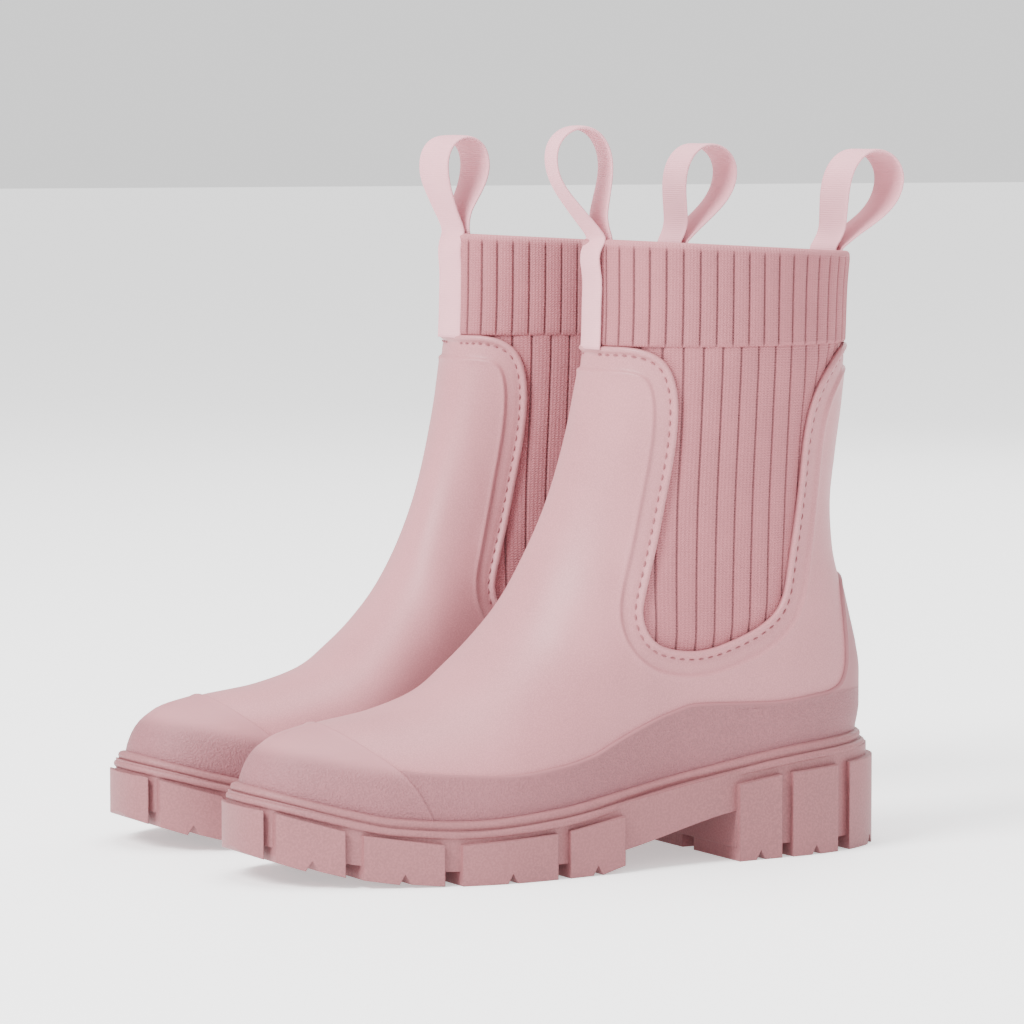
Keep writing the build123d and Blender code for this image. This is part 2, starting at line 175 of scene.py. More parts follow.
def axes(turn, height, step=0.01):
    """The surface's change per radian of turn and per mm of height, and its outward normal."""
    around = (surface(turn + step, height) - surface(turn - step, height)) / (2 * step)
    upward = (surface(turn, height + 0.5) - surface(turn, height - 0.5)) / 1.0
    normal = np.cross(around, upward)
    normal = normal / np.maximum(np.linalg.norm(normal, axis=-1, keepdims=True), 1e-9)
    return around, upward, normal


def skin(turn, height, lift):
    """Points of the surface moved outwards by lift mm."""
    normal = axes(turn, height)[2]
    return surface(turn, height) + normal * np.asarray(lift, float)[..., None]


def turn_at(station, height):
    """The turn, on the outer side, of a point of the side view."""
    station, height = np.broadcast_arrays(np.asarray(station, float), np.asarray(height, float))
    ahead = np.clip((station - LEG_CENTRE) / (FRONT(height) - LEG_CENTRE), 0, 1) ** (front_power(height) / 2)
    behind = np.clip((LEG_CENTRE - station) / (LEG_CENTRE - BACK(height)), 0, 1) ** (2.3 / 2)
    return np.arccos(np.where(station >= LEG_CENTRE, ahead, -behind))


def station_of(turn, height):
    return ORIGIN_STATION - surface(turn, height)[..., 1]


def height_on(line, turn):
    """The height where a height-by-station line crosses each turn."""
    height = np.full(np.shape(turn), 40.0)
    for _ in range(12):
        height = 0.5 * height + 0.5 * line(station_of(turn, height))
    return height


def place(points, hand):
    """Boot-frame points in mm as row-frame ones in metres; hand is 1 for the left boot, -1 for the right."""
    x = hand * (HALF_SPACING + points[..., 0])
    return np.stack([x, points[..., 1], points[..., 2]], -1) * MM


# ---------------------------------------------------------------- paths
def smooth_path(points, spacing):
    """Evenly spaced points on a smooth curve (a natural cubic spline) through points."""
    points = np.array(points, float)
    reached = np.concatenate([[0], np.cumsum(np.linalg.norm(np.diff(points, axis=0), axis=1))])
    gap = np.diff(reached)[:, None]
    count = len(points)
    matrix, right = np.eye(count), np.zeros_like(points)
    for k in range(1, count - 1):
        matrix[k, k - 1:k + 2] = gap[k - 1, 0], 2 * (gap[k - 1, 0] + gap[k, 0]), gap[k, 0]
        right[k] = 6 * ((points[k + 1] - points[k]) / gap[k] - (points[k] - points[k - 1]) / gap[k - 1])
    bend = np.linalg.solve(matrix, right)
    at = np.linspace(0, reached[-1], max(2, round(reached[-1] / spacing) + 1))
    k = np.clip(np.searchsorted(reached, at, side="right") - 1, 0, count - 2)
    before, after = (at - reached[k])[:, None], (reached[k + 1] - at)[:, None]
    return (bend[k] * after**3 / (6 * gap[k]) + bend[k + 1] * before**3 / (6 * gap[k])
            + (points[k] / gap[k] - bend[k] * gap[k] / 6) * after
            + (points[k + 1] / gap[k] - bend[k + 1] * gap[k] / 6) * before)


def resample(path, spacing):
    """The (turn, height) path with its points evenly spaced along the surface."""
    travel = np.linalg.norm(np.diff(surface(path[:, 0], path[:, 1]), axis=0), axis=1)
    reached = np.concatenate([[0], np.cumsum(travel)])
    at = np.linspace(0, reached[-1], max(2, round(reached[-1] / spacing) + 1))
    return np.stack([np.interp(at, reached, path[:, k]) for k in (0, 1)], -1)


def inset(path, distance, spacing):
    """A (turn, height) path moved along the surface, to the left of its heading, by distance mm."""
    steps = max(1, math.ceil(distance / 1.5))
    free_ends = [0 if abs(math.sin(path[k, 0])) > 1e-6 else 1 for k in (0, -1)]
    for _ in range(steps):
        turn, height = path[:, 0], path[:, 1]
        around, upward, normal = axes(turn, height)
        points = surface(turn, height)
        heading = np.gradient(points, axis=0)
        aside = np.cross(heading, normal)
        aside = aside / np.linalg.norm(aside, axis=1, keepdims=True) * (distance / steps)
        a, b, c = (around * around).sum(1), (around * upward).sum(1), (upward * upward).sum(1)
        p, q = (around * aside).sum(1), (upward * aside).sum(1)
        area = a * c - b * b
        path = path + np.stack([(c * p - b * q) / area, (a * q - b * p) / area], -1)
        for k, fixed in zip((0, -1), free_ends):
            if fixed:
                path[k, 0] = turn[k]
                path[k, 1] = height[k] - distance / steps
        path = resample(path, spacing)
    return path


def inside(polygon, points):
    """Which points lie in the polygon."""
    found = np.zeros(len(points), bool)
    for (x0, y0), (x1, y1) in zip(polygon, np.roll(polygon, -1, axis=0)):
        crosses = (y0 > points[:, 1]) != (y1 > points[:, 1])
        with np.errstate(divide="ignore", invalid="ignore"):
            found ^= crosses & (points[:, 0] < (x1 - x0) * (points[:, 1] - y0) / (y1 - y0) + x0)
    return found


# ---------------------------------------------------------------- meshes
def mesh_object(name, points, faces, hand, uvs=None, marks=None):
    """A smooth-shaded object; uvs are (u, v) per point, and marks are named numbers per point."""
    if hand < 0:
        faces = [face[::-1] for face in faces]
    mesh = bpy.data.meshes.new(name)
    mesh.from_pydata(place(np.asarray(points, float), hand).tolist(), [], faces)
    mesh.polygons.foreach_set("use_smooth", np.ones(len(faces), bool))
    if uvs is not None:
        corners = np.empty(len(mesh.loops), int)
        mesh.loops.foreach_get("vertex_index", corners)
        layer = mesh.uv_layers.new(name="lay")
        layer.data.foreach_set("uv", np.asarray(uvs, float)[corners].ravel())
    for mark, values in (marks or {}).items():
        mesh.attributes.new(mark, "FLOAT", "POINT").data.foreach_set("value", np.asarray(values, float))
    mesh.update()
    made = bpy.data.objects.new(name, mesh)
    bpy.context.scene.collection.objects.link(made)
    return made


def grid_faces(rows, columns, around=False, closed=False):
    """Quads of a grid of points.

    around joins the last column to the first, and closed the last row to the first."""
    faces = []
    for i in range(rows if closed else rows - 1):
        below, above = i * columns, (i + 1) % rows * columns
        for j in range(columns if around else columns - 1):
            after = (j + 1) % columns
            faces.append([below + j, below + after, above + after, above + j])
    return faces


DOMAIN_TURN = 60.0        # mm per radian where a panel is cut into triangles
PROFILE_STEPS = np.linspace(-20, 290, 1241)
PROFILE_TRAVEL = np.hypot(np.diff(PROFILE_STEPS), np.diff(FRONT(PROFILE_STEPS)))
PROFILE_LENGTH = np.concatenate([[0], np.cumsum(PROFILE_TRAVEL)])


def panel(edge, foot, layers, lift, depth, spacing, marker=None, thinning=0.0):
    """One hand's half of a moulded panel on the surface, mirrored about the boot's middle.

    edge is its finished edge, a (turn, height) path from front to back with the panel on its left, and foot
    the hidden lower edge, also from front to back. layers are (inset, lift) pairs that shape the edge.
    Where marker is 0 the panel is thinner, by a share thinning. Returns the points and faces of the closed
    panel, which is depth mm deep, and marker's number per point."""
    paths = [edge] + [inset(edge, distance, spacing) for distance, _ in layers[1:]]
    lifts = [value for _, value in layers]

    # straight sides, where the panel ends at the boot's front or back middle
    def closing(k):
        ends = [path[k] for path in paths] + [foot[k]]
        if abs(math.sin(edge[k, 0])) > 1e-6:
            return np.empty((0, 2))
        top, bottom = ends[-2][1], ends[-1][1]
        count = max(2, round(np.ptp(np.interp([top, bottom], PROFILE_STEPS, PROFILE_LENGTH)) / spacing / 1.3))
        return np.stack([np.full(count - 1, edge[k, 0]), np.linspace(top, bottom, count + 1)[1:-1]], -1)

    front_side, back_side = closing(0), closing(-1)
    points = np.concatenate(paths + [foot, front_side, back_side])
    given = np.concatenate([np.full(len(path), value) for path, value in zip(paths, lifts)]
                           + [np.full(len(foot) + len(front_side) + len(back_side), lift)])
    starts = np.cumsum([0] + [len(path) for path in paths])
    constraints = [(int(start + k), int(start + k + 1))
                   for start, path in zip(starts, paths) for k in range(len(path) - 1)]
    foot_start = int(starts[-1])
    front_start = foot_start + len(foot)
    back_start = front_start + len(front_side)
    down_back = [int(s + len(path) - 1) for s, path in zip(starts, paths)]
    down_front = [int(s) for s in starts[:-1]]
    if not len(back_side):
        down_back = down_back[:1]
    if not len(front_side):
        down_front = down_front[:1]
    rim = (list(range(len(edge)))
           + down_back[1:] + list(range(back_start, back_start + len(back_side)))
           + list(range(foot_start + len(foot) - 1, foot_start - 1, -1))
           + list(range(front_start + len(front_side) - 1, front_start - 1, -1)) + down_front[:0:-1])
    # an even field of points between the last layer and the foot
    inner = np.concatenate([paths[-1], foot[::-1]])
    field = []
    low, high = inner[:, 1].min(), inner[:, 1].max()
    lengths = np.arange(*np.interp([low, high], PROFILE_STEPS, PROFILE_LENGTH), spacing * 0.9)
    for number, height in enumerate(np.interp(lengths, PROFILE_LENGTH, PROFILE_STEPS)):
        turns = np.linspace(0, math.pi, 721)
        travel = np.linalg.norm(np.diff(surface(turns, height), axis=0), axis=1)
        reached = np.concatenate([[0], np.cumsum(travel)])
        at = np.arange(spacing * (0.6 + 0.5 * (number % 2)), reached[-1] - spacing * 0.4, spacing)
        field.append(np.stack([np.interp(at, reached, turns), np.full(len(at), height)], -1))
    field = np.concatenate(field)
    field = field[inside(inner, field)]
    solid, fence = surface(field[:, 0], field[:, 1]), surface(inner[:, 0], inner[:, 1])
    near = np.array([np.min(np.sum((fence - point) ** 2, axis=1)) for point in solid])
    field = field[near > (0.55 * spacing) ** 2]
    points = np.concatenate([points, field])
    given = np.concatenate([given, np.full(len(field), lift)])

    flat = np.stack([points[:, 0] * DOMAIN_TURN, np.interp(points[:, 1], PROFILE_STEPS, PROFILE_LENGTH)], -1)
    made = delaunay_2d_cdt([Vector(p) for p in flat.tolist()], constraints, [rim], 1, 1e-5, True)
    turn = np.array([p.x for p in made[0]]) / DOMAIN_TURN
    height = np.interp([p.y for p in made[0]], PROFILE_LENGTH, PROFILE_STEPS)
    lifted = np.array([given[source[0]] if source else lift for source in made[3]])
    corners = np.array([[made[0][v] for v in face] for face in made[2]])
    kept = inside(flat[rim], corners.mean(axis=1))
    faces = [list(face) for face, keep in zip(made[2], kept) if keep]

    # the other half shares the points of the middle lines
    on_middle = np.abs(np.sin(turn)) < 1e-6
    other = np.where(on_middle, np.arange(len(turn)), len(turn) + np.cumsum(~on_middle) - 1)
    faces = faces + [[int(other[v]) for v in face[::-1]] for face in faces]
    turn = np.concatenate([turn, -turn[~on_middle]])
    height = np.concatenate([height, height[~on_middle]])
    lifted = np.concatenate([lifted, lifted[~on_middle]])
    mark = np.zeros(len(turn)) if marker is None else marker(turn, height)
    outer = skin(turn, height, lifted * (1 - thinning * (1 - mark)))
    inner_points = skin(turn, height, np.full(len(turn), lift - depth))
    facing = np.cross(outer[faces[0][1]] - outer[faces[0][0]], outer[faces[0][2]] - outer[faces[0][0]])
    if facing @ axes(turn[faces[0][:1]], height[faces[0][:1]])[2][0] < 0:
        faces = [face[::-1] for face in faces]
    count = len(turn)
    used = {(a, b) for face in faces for a, b in zip(face, face[1:] + face[:1])}
    walls = [[b, a, a + count, b + count] for a, b in used if (b, a) not in used]
    faces = faces + [[v + count for v in face[::-1]] for face in faces] + walls
    return np.concatenate([outer, inner_points]), faces, np.tile(mark, 2)


# ---------------------------------------------------------------- paths of the panels
def top_edge(spacing):
    """The shell's upper edge, a (turn, height) path: its top in front, a window, its top at the back."""
    window = smooth_path(WINDOW, 0.7)
    window = np.stack([turn_at(window[:, 0], window[:, 1]), window[:, 1]], -1)
    front = np.stack([np.linspace(0, window[0, 0], 12)[:-1], np.full(11, SHELL_TOP)], -1)
    back = np.stack([np.linspace(window[-1, 0], math.pi, 12)[1:], np.full(11, SHELL_TOP)], -1)
    return resample(np.concatenate([front, window, back]), spacing)


def line_path(line, start, end, spacing):
    """A height-by-station line as a (turn, height) path from one turn to another."""
    turns = np.linspace(start, end, 300)
    return resample(np.stack([turns, height_on(line, turns)], -1), spacing)


def side_path(points, spacing=0.8):
    path = smooth_path(points, spacing)
    return np.stack([turn_at(path[:, 0], path[:, 1]), path[:, 1]], -1)


def lowered(line, amount):
    return lambda station: line(station) - amount


def shell_panel():
    edge = top_edge(1.6)
    foot = line_path(lowered(WELT, 2), 0, math.pi, 3.0)
    bead = [(0, -1.1), (0.2, -0.45), (0.6, 0.0), (1.2, 0.2), (1.9, 0.05), (2.5, -0.5), (3.0, -1.1)]
    border = [(3.6, -1.25), (4.6, -1.1), (6.4, -0.95), (8.6, -1.0), (9.3, -0.8), (9.8, -0.15), (10.3, 0.25),
              (10.9, 0.3), (11.6, 0.1), (12.6, 0.0)]
    return panel(edge, foot, bead + border, 0.0, SHELL, 3.0)


def foxing_panel():
    """The mudguard and the heel counter, one moulded layer."""
    seam = side_path([(station + 1.5, height) for station, height in TOE_SEAM[2:][::-1]])
    rear = side_path(COUNTER)
    counter_top = np.linspace(rear[-1], (math.pi, COUNTER_TOP), 8)[1:]
    upper = line_path(MUDGUARD, seam[-1, 0], turn_at(34, MUDGUARD(34)), 1.5)
    edge = resample(np.concatenate([seam, upper[1:-1], rear, counter_top]), 1.5)
    foot = line_path(lowered(WELT, 2), edge[0, 0], math.pi, 3.0)
    edge = np.concatenate([foot[:1], edge[1:]])
    layers = [(0, 0.0), (0.15, 0.75), (0.5, 1.2), (0.95, 1.3), (1.5, 1.2), (2.4, LAYER)]
    return panel(edge, foot, layers, LAYER, LAYER + 0.4, 3.0,
                 lambda turn, height: smooth_step((MUDGUARD(station_of(turn, height)) - 0.4 - height) / 1.5))


def toe_panel():
    """The toe cap."""
    summit = float(np.interp(243.0, PROFILE_FRONTS[::-1], PROFILE_HEIGHTS[::-1]))
    side = side_path(TOE_SEAM)
    ridge_turn = np.linspace(0, side[0, 0], 30)
    ridge = np.stack([ridge_turn, summit + (side[0, 1] - summit) * (ridge_turn / side[0, 0]) ** 2], -1)
    edge = resample(np.concatenate([ridge[:-1], side]), 1.5)
    foot = line_path(lowered(WELT, 2), 0, edge[-1, 0], 3.0)
    edge = np.concatenate([edge[:-1], foot[-1:]])
    layers = [(0, 0.9), (0.25, 1.6), (0.7, 1.85), (1.2, 1.75), (2.0, 1.3), (2.8, TOE_LAYER)]
    return panel(edge, foot, layers, TOE_LAYER, TOE_LAYER + 0.4, 3.0,
                 lambda turn, height: smooth_step((MUDGUARD(station_of(turn, height)) + 2 - height) / 7), 0.5)


# ---------------------------------------------------------------- camera, floor and light
def aim_camera():
    """The camera, as far away as a product photograph's: azimuth and elevation in degrees."""
    azimuth, elevation, distance = math.radians(61.66), math.radians(4.54), 1.99928
    target = Vector((0.01581, -0.00205, 0.13769))
    back = Vector((math.sin(azimuth) * math.cos(elevation), -math.cos(azimuth) * math.cos(elevation),
                   math.sin(elevation)))
    data = bpy.data.cameras.new("camera")
    data.lens, data.sensor_width = 170.4, 36.0
    camera = bpy.data.objects.new("camera", data)
    camera.location = target + distance * back
    camera.rotation_euler = back.to_track_quat("Z", "Y").to_euler()
    bpy.context.scene.collection.objects.link(camera)
    bpy.context.scene.camera = camera


def add_area_light(name, place_at, aim_at, size, power):
    data = bpy.data.lights.new(name, "AREA")
    data.shape, data.size, data.energy = "DISK", size, power
    lamp = bpy.data.objects.new(name, data)
    lamp.location = place_at
    lamp.rotation_euler = (Vector(place_at) - Vector(aim_at)).to_track_quat("Z", "Y").to_euler()
    bpy.context.scene.collection.objects.link(lamp)


def nodes_of(name):
    """A new material's node tree and its shader."""
    material = bpy.data.materials.new(name)
    material.use_nodes = True
    tree = material.node_tree
    return material, tree, tree.nodes["Principled BSDF"]


def add_node(tree, kind, inputs=None, **settings):
    """A node with its settings; inputs are values or (node, socket) links by socket name or number."""
    made = tree.nodes.new(kind)
    for key, value in settings.items():
        setattr(made, key, value)
    for key, value in (inputs or {}).items():
        if isinstance(value, bpy.types.NodeSocket):
            tree.links.new(value, made.inputs[key])
        else:
            made.inputs[key].default_value = value
    return made.outputs[0]


def math_node(tree, operation, first, second=0.0):
    return add_node(tree, "ShaderNodeMath", {0: first, 1: second}, operation=operation)


def noise(tree, scale, detail=3.0):
    position = add_node(tree, "ShaderNodeNewGeometry")
    return add_node(tree, "ShaderNodeTexNoise", {"Scale": scale, "Detail": detail, "Vector": position})


def mix(tree, share, first, second):
    return add_node(tree, "ShaderNodeMix", {0: share, 6: first, 7: second}, data_type="RGBA").node.outputs[2]


def bump(tree, height, depth_mm, below=None):
    inputs = {"Height": height, "Distance": depth_mm * MM, "Strength": 1.0}
    if below is not None:
        inputs["Normal"] = below
    return add_node(tree, "ShaderNodeBump", inputs)


def spread(tree, value, low, high, to_low=0.0, to_high=1.0):
    return add_node(tree, "ShaderNodeMapRange", {"Value": value, "From Min": low, "From Max": high,
                                                 "To Min": to_low, "To Max": to_high})


def colour(red, green, blue, shade=1.0):
    """A display colour, 0 to 255, as the shader's linear one."""
    linear = [((c / 255 + 0.055) / 1.055) ** 2.4 for c in (red, green, blue)]
    return (*[c * shade for c in linear], 1.0)


def rubber(name, base, grain_mm, grain_depth, gloss, smooth_base=None, rounding=0.0):
    """Matte moulded rubber: faint mottling and a fine grain, paler on its raised points.

    With a smooth_base the piece has that colour, and hardly any grain, where its grain mark is 0."""
    material, tree, shader = nodes_of(name)
    cloud = noise(tree, 28.0, 4.0)
    grain = noise(tree, 1000 / grain_mm, 2.0)
    fine = noise(tree, 2600.0, 2.0)
    tint = mix(tree, spread(tree, cloud, 0.35, 0.65), colour(*base, 0.95), colour(*base, 1.05))
    if smooth_base:
        mask = add_node(tree, "ShaderNodeAttribute", attribute_name="grain").node.outputs["Fac"]
        tint = mix(tree, mask, colour(*smooth_base), tint)
        strength = math_node(tree, "MAXIMUM", mask, 0.08)
        speck = math_node(tree, "MULTIPLY", spread(tree, grain, 0.42, 0.62), strength)
        relief = math_node(tree, "MULTIPLY", grain, strength)
    else:
        speck = spread(tree, grain, 0.42, 0.62)
        relief = grain
    # paler where the grain rises
    tint = mix(tree, math_node(tree, "MULTIPLY", speck, 0.5), tint, colour(*base, 1.35))
    tree.links.new(tint, shader.inputs["Base Color"])
    rough = spread(tree, cloud, 0.3, 0.7, gloss - 0.03, gloss + 0.05)
    tree.links.new(rough, shader.inputs["Roughness"])
    edges = add_node(tree, "ShaderNodeBevel", {"Radius": rounding * MM}, samples=6) if rounding else None
    texture = bump(tree, fine, 0.02, edges)
    tree.links.new(bump(tree, relief, grain_depth, texture), shader.inputs["Normal"])
    shader.inputs["Specular IOR Level"].default_value = 0.35
    return material


def knit(name, base, wales, course_mm=1.05):
    """Rib knit: courses of small V stitches across each rib, darker in the grooves and the stitch hollows as
    painted shade, with a painted highlight along the folded rim.
    """
    material, tree, shader = nodes_of(name)
    lay = add_node(tree, "ShaderNodeUVMap", uv_map="lay")
    parts = add_node(tree, "ShaderNodeSeparateXYZ", {"Vector": lay}).node.outputs
    groove = add_node(tree, "ShaderNodeAttribute", attribute_name="groove").node.outputs["Fac"]
    wale = math_node(tree, "MULTIPLY", parts[0], wales)
    leg = math_node(tree, "ABSOLUTE", math_node(tree, "SUBTRACT", math_node(tree, "FRACT", wale), 0.5))
    wander = math_node(tree, "MULTIPLY", noise(tree, 90.0, 2.0), 1.4)
    course = math_node(tree, "ADD", math_node(tree, "MULTIPLY", parts[1], 1 / course_mm), wander)
    course = math_node(tree, "ADD", course, math_node(tree, "MULTIPLY", leg, 0.9))
    wave = math_node(tree, "SINE", math_node(tree, "MULTIPLY", course, 2 * math.pi))
    column = math_node(tree, "COSINE", math_node(tree, "MULTIPLY", wale, 2 * math.pi))
    relief = math_node(tree, "ADD", math_node(tree, "MULTIPLY", wave, 0.5),
                       math_node(tree, "MULTIPLY", column, -0.35))
    fuzz = noise(tree, 1500.0, 3.0)
    # painted shade in the stitch hollows and a painted highlight on the stitches' crowns, following the
    # relief
    tint = mix(tree, spread(tree, relief, -0.9, 0.9), colour(*base, 0.84), colour(*base, 1.1))
    tint = mix(tree, spread(tree, noise(tree, 60.0, 3.0), 0.4, 0.7, 0.0, 0.3), tint, colour(*base, 1.18))
    # painted highlight along the collar's folded rim
    rim = add_node(tree, "ShaderNodeAttribute", attribute_name="rim").node.outputs["Fac"]
    tint = mix(tree, math_node(tree, "MULTIPLY", rim, 0.55), tint, colour(*[c + 22 for c in base]))
    # painted shade: the grooves between the ribs are darkened
    tint = mix(tree, groove, tint, colour(*base, 0.42))
    tree.links.new(tint, shader.inputs["Base Color"])
    texture = bump(tree, fuzz, 0.08)
    tree.links.new(bump(tree, relief, 0.16, texture), shader.inputs["Normal"])
    shader.inputs["Roughness"].default_value = 0.9
    shader.inputs["Sheen Weight"].default_value = 0.2
    shader.inputs["Sheen Roughness"].default_value = 0.5
    shader.inputs["Sheen Tint"].default_value = colour(*base)
    return material


def webbing_material(name, base):
    """Soft woven tape: fine weft lines across and faint ribs along."""
    material, tree, shader = nodes_of(name)
    lay = add_node(tree, "ShaderNodeUVMap", uv_map="lay")
    parts = add_node(tree, "ShaderNodeSeparateXYZ", {"Vector": lay}).node.outputs
    weft = math_node(tree, "SINE", math_node(tree, "MULTIPLY", parts[1], 2 * math.pi / 0.9))
    warp = math_node(tree, "SINE", math_node(tree, "MULTIPLY", parts[0], 2 * math.pi / 0.8))
    relief = math_node(tree, "ADD", weft, math_node(tree, "MULTIPLY", warp, 0.6))
    tint = mix(tree, spread(tree, relief, -1.4, 1.4), colour(*base, 0.96), colour(*base, 1.03))
    tint = mix(tree, spread(tree, noise(tree, 70.0, 3.0), 0.35, 0.7, 0.0, 0.3), tint, colour(*base, 1.15))
    tree.links.new(tint, shader.inputs["Base Color"])
    texture = bump(tree, noise(tree, 1800.0, 2.0), 0.05)
    tree.links.new(bump(tree, relief, 0.03, texture), shader.inputs["Normal"])
    shader.inputs["Roughness"].default_value = 0.85
    shader.inputs["Sheen Weight"].default_value = 0.25
    shader.inputs["Sheen Roughness"].default_value = 0.4
    shader.inputs["Sheen Tint"].default_value = colour(*base)
    return material


def plain_cloth(name, base, pitch_mm, depth_mm):
    """A tightly knitted or felted cloth without laid-out threads."""
    material, tree, shader = nodes_of(name)
    cells = add_node(tree, "ShaderNodeTexVoronoi", {"Scale": 1000 / pitch_mm,
                                                    "Vector": add_node(tree, "ShaderNodeNewGeometry")})
    fuzz = noise(tree, 900.0, 3.0)
    tint = mix(tree, spread(tree, cells, 0.1, 0.7), colour(*base, 1.08), colour(*base, 0.85))
    tint = mix(tree, spread(tree, fuzz, 0.4, 0.7, 0.0, 0.3), tint, colour(*base, 1.2))
    tree.links.new(tint, shader.inputs["Base Color"])
    tree.links.new(bump(tree, cells, depth_mm), shader.inputs["Normal"])
    shader.inputs["Roughness"].default_value = 0.92
    shader.inputs["Sheen Weight"].default_value = 0.25
    return material


MATERIALS = {
    "sole": rubber("sole_rubber", (131, 83, 86), 0.9, 0.16, 0.55, rounding=0.7),
    "shell": rubber("upper_rubber", (168, 111, 116), 0.5, 0.03, 0.45),
    # the foxing's smooth part, the heel counter, is darker than the shell's same smooth rubber: painted shade
    # for the back, which faces away from the light
    "foxing": rubber("foxing_rubber", (131, 83, 88), 0.8, 0.5, 0.56, smooth_base=(146, 94, 99)),
    "toe": rubber("toe_rubber", (131, 83, 88), 0.8, 0.5, 0.56, smooth_base=(166, 110, 115)),
    "knit": knit("rib_knit", (162, 98, 104), 5),
    "webbing": webbing_material("webbing", (213, 152, 161)),
    "lining": plain_cloth("lining_textile", (172, 115, 119), 1.3, 0.2),
    "thread": webbing_material("thread", (140, 84, 89)),
    "board": plain_cloth("insole_board", (176, 146, 120), 0.6, 0.05),
    "footbed": plain_cloth("footbed_foam", (178, 121, 127), 0.8, 0.1),
}
KEPT_NODES = {"outsole": "sole", "lining": "lining", "insole_board": "board"}


def finish_piece(piece, body, slot, material, *replaced):
    """Gives a new piece its body and material and hides the CAD nodes that it stands for; slot is not used.
    """
    piece.data.materials.append(MATERIALS[material])
    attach(piece, body)
    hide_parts(*replaced)


aim_camera()
add_area_light("key", (0.5, -2.1, 2.1), (0, 0, 0.12), 1.3, 165)
add_area_light("fill", (2.2, -0.6, 0.9), (0, 0, 0.12), 1.6, 10)
add_area_light("top", (-0.2, 0.1, 2.4), (0, 0, 0.1), 1.8, 50)
add_area_light("rear", (-1.2, 1.8, 1.2), (0, 0, 0.12), 1.6, 22)
world = bpy.data.worlds.new("studio")
world.use_nodes = True
world.node_tree.nodes["Background"].inputs[0].default_value = (1, 1, 1, 1)
world.node_tree.nodes["Background"].inputs[1].default_value = 1.2
bpy.context.scene.world = world
bpy.ops.mesh.primitive_plane_add(size=40)
floor = bpy.context.object
floor.name = "floor"
floor_material, _, floor_shader = nodes_of("pale_floor")
floor_shader.inputs["Base Color"].default_value = (0.95, 0.95, 0.95, 1)
floor_shader.inputs["Roughness"].default_value = 0.7
floor_shader.inputs["Emission Color"].default_value = (1, 1, 1, 1)
floor_shader.inputs["Emission Strength"].default_value = 0.6
floor.data.materials.append(floor_material)

# ---------------------------------------------------------------- knit
RIB_STOPS = np.array([0, 0.035, 0.07, 0.11, 0.2, 0.35, 0.5, 0.65, 0.8, 0.89, 0.93, 0.965])


def rib_profile(fraction, rib):
    """How far a flat rib stands out, and how much painted shade its grooves get, at a fraction of its width.
    """
    aside = np.minimum(fraction, 1 - fraction) * rib
    groove = np.exp(-(aside / 0.42) ** 2)
    return 0.22 * np.sin(np.pi * fraction) - 0.75 * groove, groove


def rim_height(station):
    back, front = BACK(245), FRONT(251)
    return 245 + 6 * (station - back) / (front - back)


def collar(hand):
    turns = np.linspace(0, 2 * math.pi, 1441)
    reached = np.concatenate([[0], np.cumsum(np.linalg.norm(np.diff(surface(turns, 230.0), axis=0), axis=1))])
    ribs = round(reached[-1] / COLLAR_RIB)
    phase = (np.arange(ribs)[:, None] + RIB_STOPS).ravel()
    turn = np.interp((phase + 0.5) / ribs * reached[-1], reached, turns)
    out, groove = rib_profile(phase % 1, COLLAR_RIB)
    rim = rim_height(station_of(turn, np.full(len(turn), 248.0)))
    rows, uvs, groove_shade, rim_highlight = [], [], [], []

    def add_row(height, lift, rib_share, along):
        rows.append(skin(turn, height, lift + rib_share * out))
        uvs.append(np.stack([phase, np.full(len(turn), along)], -1))
        # painted shade for the rib's grooves
        groove_shade.append(groove * rib_share)
        # painted highlight where the rib rounds over the rim
        rim_highlight.append(smooth_step((height - rim + 3.0) / 1.5))

    half = COLLAR_WALL / 2
    wall = COLLAR_INSET + half
    for share in np.linspace(0, 1, 4):
        angle = share * math.pi / 2
        add_row(np.full(len(turn), 209.4 - 1.4 * math.cos(angle)),
                -wall + half * (0.4 + 0.6 * math.sin(angle)), share, 208 + share)
    for share in np.linspace(0.03, 1, 34):
        height = 209.4 + (rim - half - 209.4) * share
        fade = 1 - smooth_step((share - 0.95) / 0.045)
        add_row(height, -wall + half, fade, 209.4 + 39 * share)
    for angle in np.linspace(0, math.pi, 9)[1:-1]:
        add_row(rim - half + half * math.sin(angle), -wall + half * math.cos(angle), 0.0, 249 + angle)
    for share in np.linspace(1, 0, 16):
        add_row(209.4 + (rim - half - 209.4) * share, -wall - half, 0.5 * smooth_step((1 - share) / 0.1),
                252 + 39 * (1 - share))
    points = np.concatenate(rows)
    faces = grid_faces(len(rows), len(turn), around=True, closed=True)
    return mesh_object("collar", points, faces, hand, np.concatenate(uvs),
                       {"groove": np.concatenate(groove_shade), "rim": np.concatenate(rim_highlight)})


